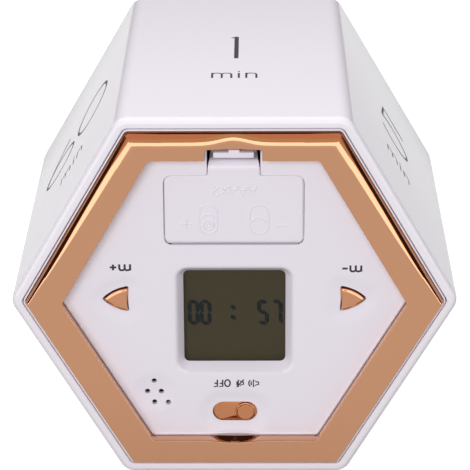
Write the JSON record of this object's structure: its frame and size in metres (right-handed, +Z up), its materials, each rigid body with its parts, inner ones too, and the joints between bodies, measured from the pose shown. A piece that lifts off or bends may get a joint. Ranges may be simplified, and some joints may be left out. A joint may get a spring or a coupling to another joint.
{
  "type": "flip timer",
  "caption": "Hexagonal countdown timer, started by turning a numbered side up, with a display, buttons, slide switch and battery door inside a plated front ring.",
  "frame": {"origin": "middle of the underside of the bounding box", "axes": "+Z up, through the face marked 1; +X to the right as seen from the display; the display faces -Y and the body's long axis runs along Y"},
  "size_m": [0.0822, 0.0734, 0.072],
  "materials": {
    "white_shell": "glossy white moulded plastic",
    "white_panel": "semi-gloss white moulded plastic",
    "rose_gold": "polished rose-gold plating on plastic",
    "clear_window": "clear polished plastic",
    "display_glass": "liquid crystal cell, grey-green",
    "reflector": "matt reflecting film",
    "holder": "matt white plastic",
    "conductive_rubber": "matt rubber",
    "board": "green lacquer on glass-fibre laminate",
    "black_plastic": "matt black plastic",
    "capacitor_can": "brushed can",
    "button_metal": "stamped steel",
    "contact_metal": "nickel-plated spring steel",
    "buzzer_brass": "rolled brass",
    "cell_wrap": "printed sleeve round a steel can",
    "screw_steel": "zinc-plated steel",
    "lead_cover": "flexible plastic cover"
  },
  "bodies": {
    "housing": {"shell": "white_shell", "front_panel": "white_panel", "trim_ring": "rose_gold", "lcd_window": "clear_window", "lcd_glass": "display_glass", "lcd_rear_film": "reflector", "lcd_frame": "holder", "zebra_strips": "conductive_rubber", "main_pcb": "board", "timer_chip": "black_plastic", "gravity_sensor": "black_plastic", "capacitor": "capacitor_can", "tact_switches": "black_plastic", "slide_switch": "button_metal", "buzzer_case": "black_plastic", "buzzer_disc": "buzzer_brass", "battery_box": "holder", "bay_spring_contact": "contact_metal", "bay_plate_contact": "contact_metal", "battery_left": "cell_wrap", "battery_right": "cell_wrap", "panel_screws": "screw_steel", "pcb_screws": "screw_steel", "box_screws": "screw_steel", "battery_leads": "lead_cover"},
    "door": {"battery_door": "white_panel", "door_contact": "contact_metal"},
    "plus_key": {"plus_button": "rose_gold", "plus_plunger": "black_plastic"},
    "minus_key": {"minus_button": "rose_gold", "minus_plunger": "black_plastic"},
    "sound_switch": {"switch_slider": "rose_gold", "slide_lever": "black_plastic"}
  },
  "joints": [
    {"name": "door_hinge", "type": "hinge", "parent": "housing", "child": "door", "pos_m": [0, -0.03222, 0.0479], "axis": [1, 0, 0], "range_deg": [0, 90]},
    {"name": "plus_press", "type": "slide", "parent": "housing", "child": "plus_key", "axis": [0, 1, 0], "range_m": [0, 0.0004], "stiffness_N_per_m": 1500},
    {"name": "minus_press", "type": "slide", "parent": "housing", "child": "minus_key", "axis": [0, 1, 0], "range_m": [0, 0.0004], "stiffness_N_per_m": 1500},
    {"name": "sound_slide", "type": "slide", "parent": "housing", "child": "sound_switch", "axis": [1, 0, 0], "range_m": [-0.004, 0]}
  ]
}
